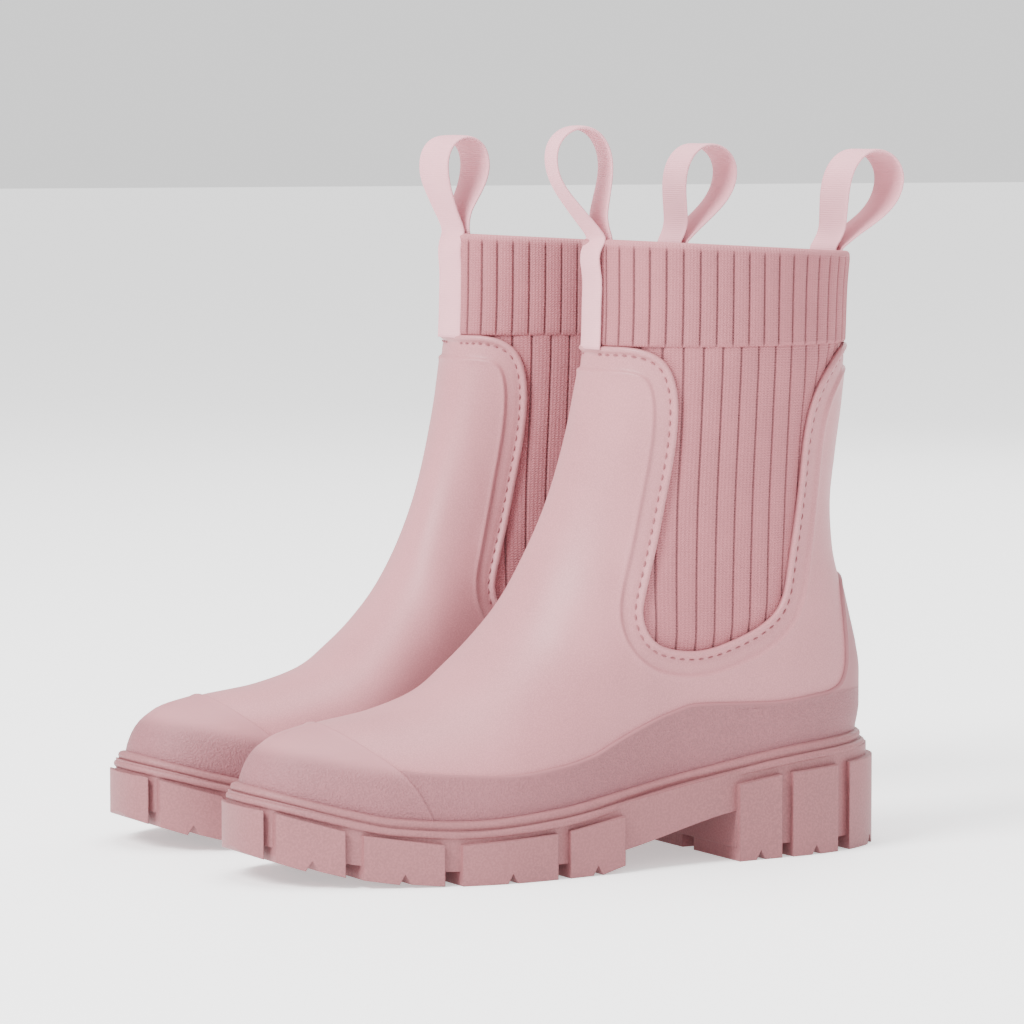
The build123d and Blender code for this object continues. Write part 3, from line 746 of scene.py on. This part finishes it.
def gore_panel(hand, flank):
    """One knit side panel; flank is 1 on the boot's outer side and -1 on its inner side."""
    low_edge = curve((18, 196), (22, 172), (30, 128), (38, 95), (46, 81), (60, 77), (100, 77), (113, 80),
                     (121, 92), (124, 100))
    stations = np.linspace(20, 118.5, 1200)
    line = surface(turn_at(stations, 150.0 + 0 * stations), 150.0)
    reached = np.concatenate([[0], np.cumsum(np.linalg.norm(np.diff(line, axis=0), axis=1))])
    ribs = int(reached[-1] / GORE_RIB)
    phase = (np.arange(ribs)[:, None] + RIB_STOPS).ravel()
    station = np.interp(phase * GORE_RIB, reached, stations)
    out, groove = rib_profile(phase % 1, GORE_RIB)
    shares = np.linspace(0, 1, 90)[:, None]
    height = low_edge(station) + (SHELL_TOP + 0.8 - low_edge(station)) * shares
    # low down the front ribs lean forwards, into the window's corner
    forwards = 8 * ((station - 20) / 98.5) ** 6
    station = station + forwards * (1 - smooth_step((height - 100) / 100))
    edge = smooth_path(WINDOW, 2.0)
    flat = np.stack([station.ravel(), height.ravel()], -1)
    near = np.array([np.min(np.hypot(*(edge - point).T)) for point in flat])
    window = np.concatenate([edge, [(14, 230), (119, 230)]])
    within = np.where(inside(window, flat), near, 0).reshape(height.shape)
    bulge = 1.0 * smooth_step(within / 7)
    turn = flank * turn_at(station, height)
    lift = -SHELL - 0.3 + bulge + out
    outer = skin(turn, height, lift)
    backing = skin(turn, height, np.full(height.shape, -SHELL - GORE))
    rows, columns = height.shape
    front = grid_faces(rows, columns)
    count = rows * columns
    faces = [face[::-1] for face in front] if flank > 0 else front
    used = {(a, b) for face in faces for a, b in zip(face, face[1:] + face[:1])}
    walls = [[b, a, a + count, b + count] for a, b in used if (b, a) not in used]
    faces = faces + [[v + count for v in face[::-1]] for face in faces] + walls
    uvs = np.stack([np.broadcast_to(phase, height.shape), height], -1).reshape(-1, 2)
    # painted shade for the grooves between the ribs
    groove_shade = np.broadcast_to(groove, height.shape).ravel()
    return mesh_object("gore", np.concatenate([outer.reshape(-1, 3), backing.reshape(-1, 3)]), faces, hand,
                       np.tile(uvs, (2, 1)), {"groove": np.concatenate([groove_shade, 0 * groove_shade])})


# ---------------------------------------------------------------- webbing
def tape(path, aside, swing, bow, hand):
    """A flat tape along a path of (station, height) points, aside mm from the boot's middle plane.

    At each point swing turns the tape's width about the vertical, in radians, and bow moves its two
    edges backwards by so many mm."""
    path = np.asarray(path, float)
    heading = np.gradient(path, axis=0)
    heading = heading / np.linalg.norm(heading, axis=1, keepdims=True)
    angles = np.linspace(0, 2 * math.pi, 20, endpoint=False)
    # a rounded slab: wide in x, thin across
    across = np.sign(np.cos(angles)) * np.abs(np.cos(angles)) ** 0.35
    through = np.sign(np.sin(angles)) * np.abs(np.sin(angles)) ** 0.6
    rows = []
    for (station, height), (ds, dh), turn, back in zip(path, heading, swing, bow):
        centre = np.array([aside, ORIGIN_STATION - station, height])
        thin = np.array([0, -dh, -ds])
        wide = np.array([math.cos(turn), math.sin(turn), 0])
        cup = 0.25 * (1 - across ** 2)
        curved = np.outer(back * across ** 2, (0, 1, 0))
        rows.append(centre + np.outer(across * TAPE_WIDTH / 2, wide) + curved
                    + np.outer(through * TAPE / 2 + cup, thin))
    points = np.concatenate(rows)
    faces = [face[::-1] for face in grid_faces(len(rows), len(angles), around=True)]
    faces = faces + [list(range(len(angles))),
                     [(len(rows) - 1) * len(angles) + k for k in range(len(angles))][::-1]]
    travel = np.concatenate([[0], np.cumsum(np.linalg.norm(np.diff(path, axis=0), axis=1))])
    uvs = np.stack([np.tile(across * TAPE_WIDTH / 2, len(rows)), np.repeat(travel, len(angles))], -1)
    return mesh_object("tape", points, faces, hand, uvs), travel[-1]


LOOP_SHAPE = [(1.5, -3), (2.0, 0), (5.2, 8), (10.0, 18), (12.4, 29), (8.8, 38.6), (0.4, 42.2), (-8.6, 38.6),
              (-12.2, 29), (-9.6, 18), (-4.6, 8), (-1.9, 0), (-1.6, -3)]


# Each boot's two pull tabs. end is 1 in front and -1 behind. lean tilts the loop, and swings twist its tape
# at the outer and the inner end, in degrees. tall and slim scale the loop, and round moves the tab round the
# collar, in degrees.
Tab = namedtuple("Tab", "end name lean swings tall slim round")
TABS = {"left": (Tab(1, "front", 15, (-12, -1), 1.0, 1.0, -8), Tab(-1, "back", 31, (4, 4), 1.0, 1.0, 0)),
        "right": (Tab(1, "front", -2, (-10, -9), 0.88, 0.8, 0), Tab(-1, "back", 23, (0, 0), 1.0, 1.0, 0))}
COLLAR_CURVE = 31.0       # radius of the collar's front and back


def pull_tab(hand, tab):
    """Webbing up the collar's outside, round the loop and down its inside, and its length in mm."""
    end = tab.end
    line, rim = (FRONT, 251.0) if end > 0 else (BACK, 245.0)
    out, into = end * (TAPE / 2 - COLLAR_INSET), -end * (COLLAR_INSET + COLLAR_WALL + TAPE / 2)
    middle = float(line(rim)) - end * (COLLAR_INSET + COLLAR_WALL / 2)
    outer = [(float(line(z)) + out, z) for z in (206.5, 216, 226, 236, rim - 4)]
    inner = [(float(line(z)) + into, z) for z in (rim - 4, 236, 226, 216, 209)]
    tilt = math.radians(tab.lean) * end
    loop = []
    for along, up in LOOP_SHAPE:
        along, up = along * end * tab.slim, up * tab.tall
        loop.append((middle + along * math.cos(tilt) + up * math.sin(tilt),
                     rim + 3.5 + up * math.cos(tilt) - along * math.sin(tilt)))
    path = smooth_path(outer + loop + inner, 1.4)
    height = path[:, 1]
    above = smooth_step((height - rim - 3) / 25)
    bow = end * COLLAR_BOW * (1 - smooth_step((height - rim + 1) / 12))
    swing = np.linspace(*tab.swings, len(path)) * above + tab.round
    aside = COLLAR_CURVE * math.sin(math.radians(tab.round))
    path[:, 0] -= end * COLLAR_CURVE * (1 - math.cos(math.radians(tab.round)))
    return tape(path, aside, np.radians(swing), bow, hand)


# ---------------------------------------------------------------- welt, stitches and footbed
WELT_PROFILE = [(-1.5, -2.0), (4.3, -2.0), (4.3, -4.7), (5.1, -4.8), (5.7, -4.3), (5.9, -3.4), (5.6, -2.5),
                (4.8, -1.95), (3.5, -1.8), (3.4, -1.5), (3.8, -1.0), (4.05, 0.0), (3.8, 0.9), (3.1, 1.5),
                (2.0, 1.8), (-1.5, 1.9)]
WELT_HEEL_RISE = 1.9


def welt_ring(hand):
    """The two beads of the welt, swept round the foot's outline."""
    turn = np.linspace(0, 2 * math.pi, 421)[:-1]
    base = surface(turn, DOME_BASE)
    around = surface(turn + 0.01, DOME_BASE) - surface(turn - 0.01, DOME_BASE)
    outward = np.stack([around[:, 1], -around[:, 0], 0 * turn], -1)
    outward = outward / np.linalg.norm(outward, axis=1, keepdims=True)
    station = ORIGIN_STATION - base[:, 1]
    welt = WELT(station) + WELT_HEEL_RISE * (1 - smooth_step(station / 110))
    rows = []
    for out, up in WELT_PROFILE:
        row = base + outward * out
        row[:, 2] = welt + up
        rows.append(row)
    faces = grid_faces(len(rows), len(turn), around=True, closed=True)
    return mesh_object("welt", np.concatenate(rows), faces, hand)


def stitching(hand):
    """Arched stitches in the groove beside each window's bead."""
    path = inset(top_edge(1.0), 3.5, 1.0)
    points = surface(path[:, 0], path[:, 1])
    reached = np.concatenate([[0], np.cumsum(np.linalg.norm(np.diff(points, axis=0), axis=1))])
    starts = np.arange(6.0, reached[-1] - 8.0, STITCH_PITCH)
    ring = np.linspace(0, 2 * math.pi, 7)[:-1]
    made, faces = [], []
    for flank in (1, -1):
        for start in starts:
            at = np.linspace(start, start + STITCH, 6)
            turn = np.interp(at, reached, path[:, 0])
            height = np.interp(at, reached, path[:, 1])
            arch = np.sin(np.linspace(0, np.pi, 6))
            centre = skin(flank * turn, height, -1.5 + 0.6 * arch)
            normal = axes(flank * turn, height)[2]
            heading = np.gradient(centre, axis=0)
            heading = heading / np.linalg.norm(heading, axis=1, keepdims=True)
            aside = np.cross(normal, heading)
            rise = np.cross(heading, aside)
            radius = 0.36 * (0.55 + 0.45 * arch)
            base = len(made) * 36
            spoke = np.cos(ring)[:, None] * aside[:, None] + np.sin(ring)[:, None] * rise[:, None]
            made.append((centre[:, None] + radius[:, None, None] * spoke).reshape(-1, 3))
            faces += [[base + v for v in face] for face in grid_faces(6, 6, around=True)]
            faces += [[base + v for v in range(6)][::-1], [base + 30 + v for v in range(6)]]
    points = np.concatenate(made)
    return mesh_object("stitching", points, faces, hand, np.zeros((len(points), 2)))


# how far out each row of the footbed lies, as a share of the way from its spine, and its height in mm
FOOTBED_SECTION = [(0.3, 5.3), (0.5, 5.2), (0.75, 5.1), (0.93, 4.9), (0.985, 4.4), (1.0, 3.4), (1.0, 1.0),
                   (0.98, 0.3), (0.9, 0.3), (0.5, 0.3)]


def footbed(hand):
    """A cloth-covered foam footbed with a rounded edge and a slight crown."""
    turn = np.linspace(0, 2 * math.pi, 241)[:-1]
    ring = skin(turn, np.full(len(turn), 30.0), -6.6)
    rows = []
    for share, up in FOOTBED_SECTION:
        flat = ring.copy()
        # narrow stations shrink towards the middle line rather than one point
        spine = np.clip(ring[:, 1], ring[:, 1].min() + 38, ring[:, 1].max() - 34)
        flat[:, 0] = SOLE_MIDDLE(ORIGIN_STATION - spine) * (1 - share) + ring[:, 0] * share
        flat[:, 1] = spine * (1 - share) + ring[:, 1] * share
        flat[:, 2] = WELT(ORIGIN_STATION - flat[:, 1]) - 12.65 + up
        rows.append(flat)
    faces = [face[::-1] for face in grid_faces(len(rows), len(turn), around=True)]
    # the top and the bottom are closed straight across, from one flank to the other
    count, last = len(turn), (len(rows) - 1) * len(turn)
    for k in range(count // 2):
        rung = list(dict.fromkeys([k, k + 1, count - k - 1, (count - k) % count]))
        faces += [rung, [last + v for v in rung[::-1]]]
    return mesh_object("footbed", np.concatenate(rows), faces, hand)


# ---------------------------------------------------------------- the pair
shell_mesh, foxing_mesh, toe_mesh = shell_panel(), foxing_panel(), toe_panel()
for side_name, hand in (("left", 1), ("right", -1)):
    boot = f"{side_name}_boot"

    def named(piece, name):
        piece.name = piece.data.name = f"{side_name}_{name}"
        return piece

    def node(name):
        return f"{side_name}_{name}"

    for name, (points, faces, marks), slot, material, replaced in (
            ("moulded_upper", shell_mesh, "upper_rubber", "shell", ["upper_shell"]),
            ("foxing_layer", foxing_mesh, "foxing_rubber", "foxing", ["mudguard", "heel_counter"]),
            ("moulded_toe_cap", toe_mesh, "foxing_rubber", "toe", ["toe_cap"])):
        piece = named(mesh_object(name, points, faces, hand, marks={"grain": marks}), name)
        finish_piece(piece, boot, slot, material, *[node(n) for n in replaced])

    knit_ring = named(collar(hand), "ribbed_collar")
    finish_piece(knit_ring, boot, "rib_knit", "knit", node("knit_collar"))
    for flank, name in ((1, "lateral"), (-1, "medial")):
        piece = named(gore_panel(hand, flank), f"ribbed_gore_{name}")
        finish_piece(piece, boot, "rib_knit", "knit", node(f"gore_{name}"))

    for tab in TABS[side_name]:
        piece, length = pull_tab(hand, tab)
        name = tab.name
        named(piece, f"pull_tab_{name}")
        piece.data.materials.append(MATERIALS["webbing"])
        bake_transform(piece)
        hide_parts(node(f"pull_loop_{name}"), node(f"webbing_tails_{name}"))

    finish_piece(named(welt_ring(hand), "welt_beads"), boot, "sole_rubber", "sole", node("welt_strip"))
    window_stitches = named(stitching(hand), "window_stitches")
    finish_piece(window_stitches, boot, "thread", "thread", node("window_stitching"))
    padded_footbed = named(footbed(hand), "covered_footbed")
    finish_piece(padded_footbed, node("footbed"), "footbed_foam", "footbed", node("footbed"))

    for name, material in KEPT_NODES.items():
        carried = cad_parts[node(name)]
        carried.data.materials.clear()
        carried.data.materials.append(MATERIALS[material])
